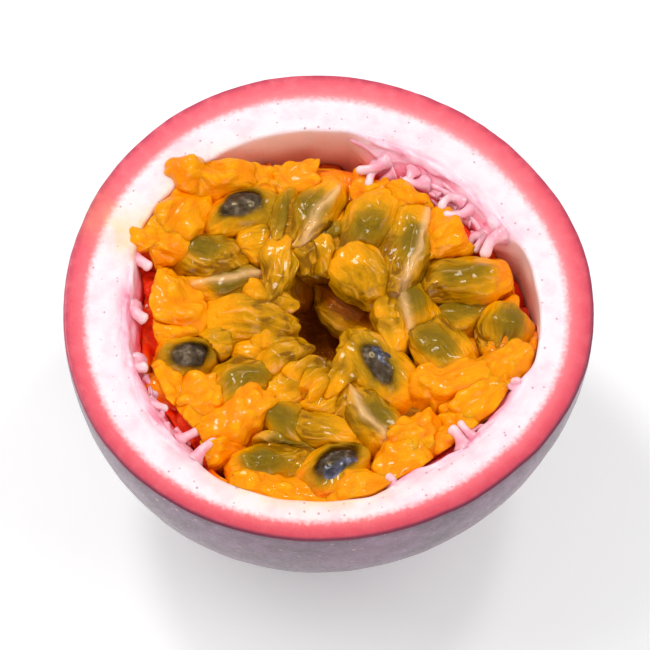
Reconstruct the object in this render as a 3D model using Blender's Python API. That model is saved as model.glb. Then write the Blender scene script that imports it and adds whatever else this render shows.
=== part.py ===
"""Half a passion fruit, cut across its middle and standing on its rounded end with the cut face up.

The leathery shell is one solid, and the pulp that fills it is another: a bowl of pulp with its
seed sacs (arils) standing out of it, round the hollow in the fruit's middle.

Frame: metres, +Z up. The origin is the centre of the small flat spot that the half stands on.
The cut face is level, and -Y is the side that shows the outside of the shell in the usual view.
"""

import math

import bmesh
import bpy
from mathutils import Matrix, Vector

MM = 0.001

# Driving dimensions.
FRUIT_DIAMETER = 60 * MM  # across the cut face
CUT_HEIGHT = 32 * MM  # from the flat spot to the cut face
FOOT_RADIUS = 6 * MM  # of the flat spot
WALL = 6.6 * MM  # mean thickness of the shell at the cut
CAVITY_OFFSET = Vector((0.1 * MM, -1.2 * MM, 0))  # the cavity isn't quite central
GAP = 0.35 * MM  # between the pulp and the shell
BED_GAP = 0.6 * MM  # between the pulp's bed and the shell, so that only the sacs are trimmed to GAP

# Three carpels give the outline a faint three-sided swell, strongest at CARPEL_ANGLE.
CARPEL_SWELL = 0.013  # of the radius
CARPEL_ANGLE = math.radians(-9)
# The seeds hang from three low ridges (placentas) that run down the inside of the shell.
PLACENTA_ANGLES = [math.radians(a) for a in (52, 200, 314)]
PLACENTA_HEIGHT = 1.1 * MM
PLACENTA_HALF_WIDTH = math.radians(24)

PULP_BED_DEPTH = 4.4 * MM  # the bed under the sacs, below the cut
HOLLOW_CENTRE = Vector((1.0 * MM, 1.2 * MM, 0))  # from the cavity's axis
HOLLOW_RADII = Vector((5.2 * MM, 5.4 * MM, 9.5 * MM))

# Length and width of each kind of sac.
SAC_SIZES = {
    "seeded": (10.4 * MM, 7.4 * MM),  # its dark seed lies close under the skin
    "clear": (11.6 * MM, 7.2 * MM),
    "tip": (9.6 * MM, 6.2 * MM),  # narrow, beside the hollow
    "orange": (9.6 * MM, 7.4 * MM),
    "bead": (5.4 * MM, 4.8 * MM),
}
# The sacs that show, ring by ring from the hollow out to the wall: the angle and the distance
# (mm) from the cavity's axis, the heading of the long axis, the kind, and how far (mm) the top
# lies below the cut. Angles are in degrees, anticlockwise from +X.
SACS = (
    (169, 8.9, -8, "tip", 2.2),
    (192, 9.2, 6, "tip", 2.6),
    (123, 9.6, -55, "tip", 1.8),
    (93, 10.0, 80, "tip", 2.0),
    (54, 7.9, -52, "tip", 1.4),
    (24, 10.2, -72, "tip", 1.8),
    (354, 10.4, -50, "tip", 2.4),
    (317, 8.4, -76, "seeded", 1.0),
    (240, 7.6, 62, "tip", 2.2),
    (262, 9.8, 20, "tip", 2.8),
    (153, 12.8, 6, "clear", 1.8),
    (217, 11.2, 40, "clear", 1.8),
    (266, 14.2, 4, "clear", 2.0),
    (297, 13.4, -58, "clear", 1.2),
    (314, 14.0, -20, "tip", 3.4),
    (331, 14.6, 12, "orange", 1.6),
    (348, 13.8, -62, "clear", 1.4),
    (6, 16.0, 8, "clear", 3.0),
    (49, 14.2, 68, "clear", 1.0),
    (72, 14.2, 62, "clear", 1.0),
    (106, 13.8, 72, "clear", 1.2),
    (126, 20.2, 12, "orange", 0.6),
    (126, 15.6, -4, "seeded", 1.4),
    (146, 17.2, -16, "clear", 1.2),
    (163, 18.8, 30, "orange", 2.0),
    (179, 17.2, 80, "orange", 1.6),
    (195, 16.6, 14, "seeded", 1.4),
    (212, 17.6, 20, "orange", 2.0),
    (234, 16.4, 46, "orange", 1.6),
    (249, 18.4, 16, "clear", 1.4),
    (273, 18.0, 24, "seeded", 1.0),
    (283, 20.2, 10, "orange", 1.8),
    (302, 18.2, 55, "orange", 1.2),
    (323, 18.4, 20, "bead", 1.8),
    (333, 20.0, 70, "bead", 1.6),
    (345, 19.8, 80, "orange", 1.4),
    (3, 20.0, 74, "clear", 1.6),
    (20, 17.2, 2, "clear", 0.8),
    (38, 18.6, 80, "orange", 2.2),
    (62, 18.8, -36, "orange", 1.8),
    (82, 19.4, -10, "orange", 2.2),
    (91, 16.8, 66, "clear", 1.6),
    (103, 18.8, 4, "orange", 2.6),
)
SAC_TAPER = 0.25  # how much narrower a sac's inner end is
SAC_PITCH = math.radians(10)  # sacs lie nearly level, some with one end up

RADIUS = FRUIT_DIAMETER / 2
# Semi-axis of the outer ovoid that puts the flat spot CUT_HEIGHT below the cut.
OVOID_DEPTH = CUT_HEIGHT / math.sqrt(1 - (FOOT_RADIUS / RADIUS) ** 2)
CAVITY_RADIUS = RADIUS - WALL
CAVITY_DEPTH = OVOID_DEPTH - WALL
CAVITY_CENTRE = CAVITY_OFFSET + Vector((0, 0, CUT_HEIGHT))


def clear_scene():
    for obj in list(bpy.data.objects):
        bpy.data.objects.remove(obj)


def material(name, colour, roughness):
    made = bpy.data.materials.new(name)
    made.use_nodes = True
    shader = made.node_tree.nodes["Principled BSDF"]
    shader.inputs["Base Color"].default_value = (*colour, 1)
    shader.inputs["Roughness"].default_value = roughness
    shader.inputs["Metallic"].default_value = 0
    return made


def new_object(name, bm, collection, smooth=True):
    """An object made from a bmesh, which is freed."""
    mesh = bpy.data.meshes.new(name)
    bm.to_mesh(mesh)
    bm.free()
    if smooth:
        mesh.shade_smooth()
        mesh.set_sharp_from_angle(angle=math.radians(40))
    obj = bpy.data.objects.new(name, mesh)
    collection.objects.link(obj)
    return obj


def hide(obj):
    """Marks a cutter or a piece that a Boolean joins to another."""
    obj.hide_render = True
    obj.display_type = "WIRE"
    return obj


def add_boolean(obj, name, operation, other):
    """A Boolean with an object, or with everything in a collection."""
    modifier = obj.modifiers.new(name, "BOOLEAN")
    modifier.operation = operation
    modifier.solver = "EXACT"
    if isinstance(other, bpy.types.Collection):
        modifier.operand_type = "COLLECTION"
        modifier.collection = other
    else:
        modifier.object = other


def angle_between(a, b):
    """The smaller angle between two directions."""
    return abs((a - b + math.pi) % (2 * math.pi) - math.pi)


def carpel_swell(angle):
    return 1 + CARPEL_SWELL * math.cos(3 * (angle - CARPEL_ANGLE))


def placenta_rise(angle):
    """How far the nearest placenta stands into the cavity at this angle."""
    nearest = min(angle_between(angle, a) for a in PLACENTA_ANGLES)
    if nearest > PLACENTA_HALF_WIDTH:
        return 0
    return PLACENTA_HEIGHT * math.cos(nearest / PLACENTA_HALF_WIDTH * math.pi / 2) ** 2


def cut_below(bm, height, keep_upper):
    """Cuts a closed bmesh at a level, and closes it with a flat face."""
    bmesh.ops.bisect_plane(
        bm,
        geom=bm.verts[:] + bm.edges[:] + bm.faces[:],
        plane_co=(0, 0, height),
        plane_no=(0, 0, 1),
        clear_inner=keep_upper,
        clear_outer=not keep_upper,
    )
    bmesh.ops.holes_fill(bm, edges=[e for e in bm.edges if e.is_boundary])


def outer_ovoid():
    """The whole half fruit, before it is hollowed."""
    bm = bmesh.new()
    bmesh.ops.create_uvsphere(bm, u_segments=72, v_segments=36, radius=1)
    for vert in bm.verts:
        swell = carpel_swell(math.atan2(vert.co.y, vert.co.x))
        vert.co.x *= RADIUS * swell
        vert.co.y *= RADIUS * swell
        vert.co.z = vert.co.z * OVOID_DEPTH + CUT_HEIGHT
    cut_below(bm, CUT_HEIGHT, keep_upper=False)
    cut_below(bm, 0, keep_upper=True)
    return bm


def cavity_form(inset, segments, rings):
    """A closed ovoid of the cavity's shape with its placentas, smaller by inset all round."""
    bm = bmesh.new()
    bmesh.ops.create_uvsphere(bm, u_segments=segments, v_segments=rings, radius=1)
    for vert in bm.verts:
        angle = math.atan2(vert.co.y, vert.co.x)
        radius = CAVITY_RADIUS * carpel_swell(angle) - placenta_rise(angle) - inset
        vert.co.x *= radius
        vert.co.y *= radius
        vert.co.z *= CAVITY_DEPTH - inset
        vert.co += CAVITY_CENTRE
    return bm


def sac_form(length, width):
    """A seed sac along X: an ovoid that narrows towards its inner end."""
    bm = bmesh.new()
    bmesh.ops.create_uvsphere(bm, u_segments=10, v_segments=7, radius=0.5)
    bm.transform(Matrix.Rotation(math.pi / 2, 4, "Y"))
    for vert in bm.verts:
        narrowing = 1 - SAC_TAPER * (0.5 + vert.co.x)
        vert.co.x *= length
        vert.co.y *= width * narrowing
        vert.co.z *= width * narrowing
    return bm


def sac_place(angle, distance, heading, width, sink, order):
    """Where a sac lies: its top is sink below the cut."""
    at = Vector((math.cos(math.radians(angle)), math.sin(math.radians(angle)), 0))
    centre = CAVITY_CENTRE + at * distance * MM
    centre.z -= sink * MM + width / 2
    turn = Matrix.Rotation(math.radians(heading), 4, "Z")
    pitch = Matrix.Rotation(SAC_PITCH * math.sin(2.4 * order), 4, "Y")
    return Matrix.Translation(centre) @ turn @ pitch


def make_sacs(collection):
    for order, (angle, distance, heading, kind, sink) in enumerate(SACS):
        length, width = SAC_SIZES[kind]
        sac = new_object(f"sac_{order}", sac_form(length, width), collection)
        sac.matrix_world = sac_place(angle, distance, heading, width, sink, order)
        hide(sac)


def hollow_form():
    """The hollow that the sacs leave in the middle of the fruit."""
    bm = bmesh.new()
    bmesh.ops.create_uvsphere(bm, u_segments=20, v_segments=12, radius=1)
    centre = CAVITY_CENTRE + HOLLOW_CENTRE
    bm.transform(Matrix.Translation(centre) @ Matrix.Diagonal((*HOLLOW_RADII, 1)))
    return bm


def make_shell(collection, cutters):
    shell = new_object("shell", outer_ovoid(), collection)
    cavity = hide(new_object("cavity", cavity_form(0, 64, 30), cutters))
    add_boolean(shell, "hollow out", "DIFFERENCE", cavity)
    shell.data.materials.append(material("shell", (0.16, 0.03, 0.06), 0.4))
    return shell


def make_pulp(collection, cutters, sacs):
    """The pulp's bed, with the hollow cut in it, the sacs joined on, and all kept off the wall."""
    bed = cavity_form(BED_GAP, 56, 28)
    cut_below(bed, CUT_HEIGHT - PULP_BED_DEPTH, keep_upper=False)
    pulp = new_object("pulp", bed, collection)
    hollow = hide(new_object("hollow", hollow_form(), cutters))
    room = hide(new_object("room", cavity_form(GAP, 56, 28), cutters))
    add_boolean(pulp, "hollow", "DIFFERENCE", hollow)
    add_boolean(pulp, "sacs", "UNION", sacs)
    add_boolean(pulp, "room", "INTERSECT", room)
    pulp.data.materials.append(material("pulp", (0.85, 0.42, 0.02), 0.25))
    return pulp


def new_collection(name):
    made = bpy.data.collections.new(name)
    bpy.context.scene.collection.children.link(made)
    return made


def main():
    clear_scene()
    fruit = new_collection("passion_fruit_half")
    cutters = new_collection("cutters")
    sacs = new_collection("sacs")
    make_sacs(sacs)
    make_shell(fruit, cutters)
    make_pulp(fruit, cutters, sacs)


main()
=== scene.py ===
"""Looks of the passion fruit half: its rind, seed sacs, seeds and the fine stalks that hold them.

Lengths are in metres, and the tables below give millimetres. The cut face is level, and -Y faces
the camera. Places on the cut are measured from the cavity's axis, with +X to the right.
"""

import itertools
from math import acos, asin, atan2, cos, degrees, dist, hypot, pi, radians, sin, sqrt

import bmesh
import bpy
import numpy as np
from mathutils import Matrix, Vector


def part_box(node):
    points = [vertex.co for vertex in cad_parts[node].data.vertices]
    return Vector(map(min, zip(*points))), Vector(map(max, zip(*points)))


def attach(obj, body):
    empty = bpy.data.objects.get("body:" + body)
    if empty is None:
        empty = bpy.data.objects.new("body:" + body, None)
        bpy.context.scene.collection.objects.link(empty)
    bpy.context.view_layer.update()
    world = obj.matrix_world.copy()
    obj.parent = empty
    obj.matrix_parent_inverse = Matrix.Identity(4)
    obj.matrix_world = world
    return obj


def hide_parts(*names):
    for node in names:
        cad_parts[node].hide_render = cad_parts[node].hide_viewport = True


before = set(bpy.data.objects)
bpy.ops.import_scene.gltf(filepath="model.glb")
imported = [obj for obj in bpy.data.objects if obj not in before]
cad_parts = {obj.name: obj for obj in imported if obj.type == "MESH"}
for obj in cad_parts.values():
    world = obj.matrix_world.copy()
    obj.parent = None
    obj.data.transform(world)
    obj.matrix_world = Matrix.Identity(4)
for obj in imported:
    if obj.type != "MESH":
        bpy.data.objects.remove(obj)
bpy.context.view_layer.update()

MM = 0.001
TURN = 2 * pi

# ---------------------------------------------------------------- sizes, as in the CAD model
CUT_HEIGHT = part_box("shell")[1].z
RADIUS = 30 * MM
FOOT_RADIUS = 6 * MM
OVOID_DEPTH = CUT_HEIGHT / sqrt(1 - (FOOT_RADIUS / RADIUS) ** 2)
CAVITY_RADIUS = 23.8 * MM
CAVITY_DEPTH = OVOID_DEPTH - 6.6 * MM
AXIS = np.array((0.1 * MM, -1.2 * MM, CUT_HEIGHT))  # where the cavity's axis meets the cut
CARPEL_SWELL = 0.013
CARPEL_ANGLE = radians(-9)

# Where the pulp stands off the wall: direction and half width in degrees, and the gap (mm).
BARE_WALL = ((100, 22, 1.8), (14, 14, 1.5), (52, 30, 1.8), (174, 20, 2.0), (214, 22, 1.3), (312, 16, 0.35))
# Placental zones: direction and half width in degrees, then how far the tissue reaches in (mm).
PLACENTAS = ((52, 33, 2.1), (198, 44, 1.2), (314, 33, 1.2))
EDGE_DIP = 1.2 * MM  # the wall is thicker by this much at a placenta

RED_BAND = 2.92 * MM  # mean width of the red band, and how much it varies round the cut
RED_VARIES = 0.5 * MM
RED_WIDEST = radians(58)

# Kinds of sac: how ripe (0 orange, 0.5 yellow, 1 olive), how far the seed's top lies under the
# sac's (mm), and how much of its pale streaks shows. A bare seed shows through a clear skin.
# The pale streaks are partly the sacs' pale folds, partly painted reflections of the lamps.
KINDS = {
    "bare": (0.75, 0.12, 0.3),
    "olive": (0.92, 0.9, 0.6),
    "streaked": (0.92, 0.9, 1.0),
    "yellow": (0.78, None, 0.7),
    "torn": (0.85, None, 0.8),
    "orange": (0.1, None, 0.1),
    "amber": (0.86, None, 0.4),
}
# x, y, how far the top lies below the cut, heading of the long axis, length, width and kind.
# The sacs that lie over the others:
OVER_SACS = (
    (-9.9, 14.4, 1.1, 10, 9.2, 6.2, "bare"),
    (-15.8, -4.2, 1.2, 15, 7.8, 6.4, "bare"),
    (5.9, -5.9, 0.6, -56, 10.4, 7.2, "bare"),
    (0.9, -18.6, 0.8, 36, 9.2, 6.4, "bare"),
    (-8.7, 0.7, 1.1, -5, 11.4, 5.6, "yellow"),
    (-1.2, 14.2, 0.8, 60, 11.4, 5.0, "streaked"),
    (4.7, 11.9, 0.6, 60, 12.4, 6.0, "olive"),
    (9.3, 9.6, 0.5, 70, 13.6, 6.4, "streaked"),
    (4.3, 6.5, 0.5, -62, 8.8, 6.2, "yellow"),
    (15.8, 5.3, 0.3, 4, 10.6, 5.4, "olive"),
    (20.3, -0.6, 1.0, 76, 8.8, 6.6, "olive"),
    (12.6, -3.0, 0.8, -54, 9.2, 6.6, "olive"),
    (5.4, -12.2, 0.7, -58, 9.8, 5.4, "streaked"),
    (-6.6, -18.3, 1.0, 15, 9.2, 5.4, "olive"),
    (-12.6, 19.0, -0.2, -8, 9.0, 6.0, "orange"),
    (-9.8, -12.4, 0.8, 38, 9.8, 5.2, "orange"),
    (13.0, -7.6, 0.7, 6, 9.6, 5.0, "orange"),
)
# The sacs between them, pressed together:
LEVEL_SACS = (
    (-14.3, 9.8, 1.5, -20, 10.6, 6.2, "olive"),
    (-7.0, 10.8, 1.9, 15, 7.6, 5.0, "yellow"),
    (-11.0, 6.0, 2.9, 10, 9.8, 5.0, "streaked"),
    (-4.3, 12.9, 1.3, 74, 11.4, 5.8, "olive"),
    (-0.2, 11.4, 1.6, 72, 7.2, 5.0, "olive"),
    (9.4, 2.6, 1.5, -65, 8.4, 5.4, "streaked"),
    (12.4, 6.2, 1.9, 70, 8.2, 4.4, "yellow"),
    (15.6, 1.9, 2.7, 10, 8.0, 5.0, "olive"),
    (9.3, -9.4, 2.6, -10, 6.6, 4.6, "olive"),
    (-9.0, -7.6, 1.1, 24, 9.6, 6.2, "olive"),
    (-4.2, -7.4, 1.5, 26, 7.4, 5.4, "yellow"),
    (-0.2, -13.4, 1.5, -8, 9.8, 5.4, "yellow"),
    (-4.2, -12.2, 1.6, -46, 7.6, 4.8, "olive"),
    (-4.6, -15.6, 2.0, 8, 8.2, 4.6, "olive"),
    (0.6, -9.8, 1.8, 30, 7.2, 5.0, "yellow"),
    (-6.6, -3.2, 2.2, -12, 6.4, 4.0, "yellow"),
    (-12.6, -1.6, 1.9, 10, 5.6, 4.4, "yellow"),
)
# The same without the kind: orange lobes, burst sacs round the hollow and the amber sac in it.
ORANGE_LOBES = (
    (-17.2, 13.8, 0.3, 52, 8.6, 5.6),
    (-7.6, 18.9, 1.7, -10, 6.4, 5.0),
    (-3.2, 18.8, 1.7, 5, 6.4, 5.0),
    (1.4, 18.9, 1.6, -10, 6.2, 4.8),
    (-19.8, 10.4, 0.2, 10, 8.0, 5.2),
    (-19.6, 4.9, 1.5, 20, 4.8, 4.0),
    (-17.0, 2.0, 1.0, -40, 7.2, 5.2),
    (-18.2, -0.9, 1.5, -6, 5.6, 4.2),
    (5.6, 18.0, 1.5, -16, 5.8, 4.6),
    (10.1, 16.1, 1.3, -34, 6.4, 5.0),
    (14.3, 11.6, 1.0, 40, 6.8, 5.4),
    (-17.8, -8.3, 1.3, -26, 6.0, 4.2),
    (-13.6, -9.4, 1.2, -46, 5.8, 4.8),
    (-15.2, -11.9, 1.8, 0, 3.2, 3.0),
    (-11.6, -16.0, 1.5, 10, 4.8, 4.0),
    (-12.9, -14.2, 1.8, 50, 3.4, 3.0),
    (-4.6, -21.6, 0.9, -8, 11.0, 4.4),
    (4.6, -21.4, 0.7, 12, 7.6, 4.4),
    (17.4, -10.3, 1.0, 36, 6.4, 4.0),
    (15.5, -12.9, 1.3, 30, 4.2, 3.4),
    (19.8, -8.6, 1.4, 40, 3.4, 2.8),
    (20.0, -5.4, 0.9, 58, 7.4, 4.8),
    (15.2, -9.6, 1.6, 10, 3.2, 3.0),
    (9.8, -14.8, 0.7, 40, 7.0, 5.0),
    (12.6, -15.0, 1.2, 10, 4.6, 3.8),
    (8.6, -18.4, 0.8, 20, 6.6, 4.8),
)
TORN_SACS = (
    (-5.7, 7.4, 1.2, 82, 8.6, 2.8),
    (-4.9, 6.8, 2.0, 76, 4.6, 2.2),
    (-2.6, 9.2, 1.7, -60, 5.0, 2.6),
    (-0.2, 9.2, 1.8, -74, 4.6, 2.6),
    (1.4, 9.6, 1.6, -78, 4.4, 2.4),
    (-6.2, 3.6, 1.9, -20, 4.2, 2.4),
    (-5.4, -2.4, 1.6, -6, 5.0, 2.4),
    (-4.8, -4.4, 1.4, 22, 5.2, 2.6),
    (-2.4, -6.2, 1.6, 20, 4.4, 2.8),
    (-0.6, -7.8, 1.5, 40, 4.6, 2.8),
    (1.6, -7.4, 1.3, 62, 5.2, 3.0),
    (2.8, -9.6, 1.1, 75, 5.0, 2.6),
    (7.6, 4.6, 1.8, -72, 4.8, 2.4),
    (7.4, 2.0, 2.2, -84, 4.8, 2.4),
    (7.7, -0.8, 1.9, -66, 4.6, 2.8),
)
AMBER_SAC = (3.0, 4.4, 5.0, -35, 8.6, 5.2)
RIM_LOBES = (  # orange, over the edge of the wall
    (-15.6, 18.6, -0.9, 30, 4.6, 3.4),
    (-21.0, 10.3, -0.1, -6, 3.8, 2.8),
)

HOLLOW = (0.6, 1.8)  # middle of the hollow, and its radius
HOLLOW_RADIUS = 5.0
SEED_SIZE = (6.1, 4.1, 2.9)
LEAN_ORDER = 200  # number of the first rim lobe, which sets its own folds

rng = np.random.default_rng(11)


# ---------------------------------------------------------------- small helpers
def srgb(red, green, blue):
    """A colour given as a screen shows it, from 0 to 255, for a shader socket."""
    scaled = np.array((red, green, blue)) / 255
    linear = np.where(scaled <= 0.04045, scaled / 12.92, ((scaled + 0.055) / 1.055) ** 2.4)
    return (*(float(v) for v in linear), 1.0)


def ease(low, high, values):
    """From 0 at low to 1 at high, with soft ends."""
    share = np.clip((values - low) / (high - low), 0, 1)
    return share * share * (3 - 2 * share)


def lattice(corner, seed):
    """A repeatable number from 0 to 1 for each corner of a unit grid."""
    mixed = corner @ np.array((374761393, 668265263, 1103515245)) + seed * 974634777
    mixed = mixed & 0xFFFFFFFF
    mixed = ((mixed ^ (mixed >> 13)) * 1274126177) & 0xFFFFFFFF
    return ((mixed ^ (mixed >> 16)) & 0xFFFF) / 65535


def noise(points, size, seed=0):
    """Smooth noise from -1 to 1 with lumps about this size."""
    places = points / size
    corner = np.floor(places).astype(np.int64)
    share = places - corner
    share = share * share * (3 - 2 * share)
    total = np.zeros(len(points))
    for step in np.ndindex(2, 2, 2):
        step = np.array(step)
        weight = np.prod(np.where(step, share, 1 - share), axis=1)
        total += weight * lattice(corner + step, seed)
    return total * 2 - 1


def rough(points, size, octaves, seed=0):
    """Noise with finer and fainter noise added to it."""
    return sum(noise(points, size / 2**k, seed + k) / 2**k for k in range(octaves))


def in_scene(name, data):
    thing = bpy.data.objects.new(name, data)
    bpy.context.scene.collection.objects.link(thing)
    return thing


def new_piece(name, points, faces, material):
    """A smooth mesh piece on the body, with the record's slot."""
    mesh = bpy.data.meshes.new(name)
    mesh.from_pydata(points, [], faces)
    mesh.shade_smooth()
    piece = in_scene(name, mesh)
    mesh.materials.append(material)
    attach(piece, "root")
    return piece


def store(piece, name, values):
    """Keeps a number, or a vector, for each vertex, which the material reads."""
    kind, field = ("FLOAT", "value") if values.ndim == 1 else ("FLOAT_VECTOR", "vector")
    attribute = piece.data.attributes.new(name, kind, "POINT")
    attribute.data.foreach_set(field, values.astype(np.float32).ravel())


def loft(rings):
    """Points and faces of a closed skin over rings of equal count, with both ends closed."""
    count = len(rings[0])
    points = np.vstack([*rings, rings[0].mean(0)[None], rings[-1].mean(0)[None]])
    first = np.arange(count)
    after = (first + 1) % count
    faces = []
    for k in range(len(rings) - 1):
        low, high = k * count, (k + 1) * count
        quads = np.stack([low + first, low + after, high + after, high + first], axis=1)
        faces += quads.tolist()
    start, end = len(rings) * count, len(rings) * count + 1
    faces += [[start, b, a] for a, b in zip(first.tolist(), after.tolist())]
    last = (len(rings) - 1) * count
    faces += [[end, last + a, last + b] for a, b in zip(first.tolist(), after.tolist())]
    return points, faces


# ---------------------------------------------------------------- the fruit's own shape
def carpel_swell(angle):
    return 1 + CARPEL_SWELL * np.cos(3 * (angle - CARPEL_ANGLE))


def in_zone(angle, middle, half, edge=1.0):
    """1 near a direction in degrees, falling to 0 this many half widths away from it."""
    away = np.abs((angle - radians(middle) + pi) % TURN - pi)
    return ease(edge, 0.6, away / radians(half))


def placental(angle):
    """How much of a placenta there is in each direction (0 to 1), and how far it reaches in."""
    share, reach = np.zeros_like(angle), np.zeros_like(angle)
    for middle, half, amount in PLACENTAS:
        here = in_zone(angle, middle, half)
        share = np.maximum(share, here)
        reach = np.maximum(reach, here * amount * MM)
    return share, reach


def wall_radius(angle, below):
    """Radius of the cavity's wall from its axis, this far below the cut."""
    share, reach = placental(angle)
    ovoid = np.sqrt(np.clip(1 - (below / CAVITY_DEPTH) ** 2, 0, 1))
    shelf = ease(0, 3.4 * MM, below) * ease(20 * MM, 8 * MM, below)
    fade = ease(16 * MM, 6 * MM, below)
    return CAVITY_RADIUS * carpel_swell(angle) * ovoid - EDGE_DIP * share * fade - reach * shelf


def on_circle(angle, radius):
    return np.stack([np.cos(angle) * radius, np.sin(angle) * radius], axis=1)


def over(flat, height):
    """Points over places on a plane, at one height or at a height each."""
    return np.column_stack([flat, np.broadcast_to(height, len(flat))])


def lengths(vectors):
    return np.linalg.norm(vectors, axis=1)


# ---------------------------------------------------------------- materials
class Shader:
    """A material's nodes. A helper adds a node or more and gives back the last one's output."""

    def __init__(self, name):
        self.material = bpy.data.materials.new(name)
        self.material.use_nodes = True
        self.tree = self.material.node_tree
        self.principled = self.tree.nodes["Principled BSDF"]
        self.output = self.tree.nodes["Material Output"]

    def put(self, socket, value):
        if isinstance(value, bpy.types.NodeSocket):
            self.tree.links.new(value, socket)
        else:
            socket.default_value = value

    def add(self, kind, inputs, result, **settings):
        node = self.tree.nodes.new(kind)
        for name, value in settings.items():
            setattr(node, name, value)
        for name, value in inputs.items():
            self.put(node.inputs[name], value)
        return node.outputs[result]

    def set(self, **inputs):
        """Sets the surface's own sockets: Base_Color stands for Base Color."""
        for name, value in inputs.items():
            self.put(self.principled.inputs[name.replace("_", " ")], value)

    def place(self):
        return self.add("ShaderNodeTexCoord", {}, "Object")

    def stored(self, name, result="Fac"):
        return self.add("ShaderNodeAttribute", {}, result, attribute_name=name)

    def noise(self, size, detail=2.0, vector=None, distortion=0.0):
        """Noise whose lumps are about this size, from 0 to 1."""
        inputs = {"Scale": 1 / size, "Detail": detail, "Distortion": distortion}
        inputs["Vector"] = self.place() if vector is None else vector
        return self.add("ShaderNodeTexNoise", inputs, "Fac")

    def math(self, operation, first, second=0.0, third=0.0):
        inputs = {0: first, 1: second, 2: third}
        return self.add("ShaderNodeMath", inputs, 0, operation=operation)

    def times(self, first, second):
        return self.math("MULTIPLY", first, second)

    def remap(self, value, low, high, to_low=0.0, to_high=1.0):
        """Takes low..high to to_low..to_high with soft ends."""
        inputs = {"Value": value, "From Min": low, "From Max": high}
        inputs |= {"To Min": to_low, "To Max": to_high}
        return self.add("ShaderNodeMapRange", inputs, "Result", interpolation_type="SMOOTHSTEP")

    def patches(self, size, detail, *levels):
        """Soft patches of noise, between the levels that remap takes."""
        return self.remap(self.noise(size, detail), *levels)

    def mix(self, share, first, second):
        """Mixes two colours, each a socket or three numbers from 0 to 255."""
        node = self.tree.nodes.new("ShaderNodeMix")
        node.data_type = "RGBA"
        self.put(node.inputs[0], share)
        for place, value in ((6, first), (7, second)):
            self.put(node.inputs[place], srgb(*value) if isinstance(value, tuple) else value)
        return node.outputs[2]

    def layers(self, colour, *coats):
        """Lays coats over a colour one by one, each a share and a colour."""
        for share, coat in coats:
            colour = self.mix(share, colour, coat)
        return colour

    def ramp(self, value, *stops):
        """A colour ramp, its stops given as place, red, green and blue."""
        node = self.tree.nodes.new("ShaderNodeValToRGB")
        elements = node.color_ramp.elements
        while len(elements) < len(stops):
            elements.new(0.5)
        for element, (place, *colour) in zip(elements, stops):
            element.position, element.color = place, srgb(*colour)
        self.put(node.inputs[0], value)
        return node.outputs[0]

    def bump(self, height, distance, strength=1.0):
        inputs = {"Height": height, "Distance": distance, "Strength": strength}
        self.set(Normal=self.add("ShaderNodeBump", inputs, "Normal"))

    def dots(self, spacing, smallest, largest, share, upright=False):
        """Round specks of uneven size, a share of the cells of a grid with this spacing."""
        node = self.tree.nodes.new("ShaderNodeTexVoronoi")
        node.voronoi_dimensions = "2D" if upright else "3D"
        node.inputs["Scale"].default_value = 1 / spacing
        self.put(node.inputs["Vector"], self.place())
        pick = self.add("ShaderNodeSeparateColor", {"Color": node.outputs["Color"]}, "Red")
        chosen = self.math("LESS_THAN", pick, share)
        size = self.math("MULTIPLY_ADD", pick, (largest - smallest) / share / spacing, smallest / spacing)
        inside = self.math("SUBTRACT", size, node.outputs["Distance"])
        return self.times(self.remap(inside, 0.0, 0.08), chosen)


def skin_material():
    mat = Shader("skin")
    colour = mat.ramp(mat.noise(9 * MM, 3.0),
        (0.3, 56, 20, 42), (0.5, 80, 36, 62), (0.7, 102, 56, 84),
    )
    coarse = mat.dots(1.15 * MM, 0.1 * MM, 0.3 * MM, 0.75)
    fine = mat.dots(0.62 * MM, 0.05 * MM, 0.15 * MM, 0.6)
    crowd = mat.patches(14 * MM, 2.0, 0.35, 0.65, 0.35, 1.0)
    specks = mat.times(mat.times(mat.math("MAXIMUM", coarse, fine), crowd), 0.7)
    colour = mat.layers(
        colour,
        # Mauve-grey patches: partly the skin's waxy bloom, partly a painted sheen of the floor's
        # reflection.
        (mat.patches(2.2 * MM, 4.0, 0.4, 0.75, 0.06, 0.42), (146, 112, 144)),
        (specks, (196, 158, 140)),
        (mat.stored("scar"), (176, 132, 84)),
    )
    grain = mat.noise(0.5 * MM, 4.0)
    mat.bump(mat.math("MULTIPLY_ADD", specks, 0.5, grain), 0.06 * MM, 0.6)
    mat.set(Base_Color=colour, Roughness=mat.remap(grain, 0.3, 0.7, 0.3, 0.44))
    mat.set(Coat_Weight=0.5, Coat_Roughness=0.3)
    return mat.material


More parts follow.
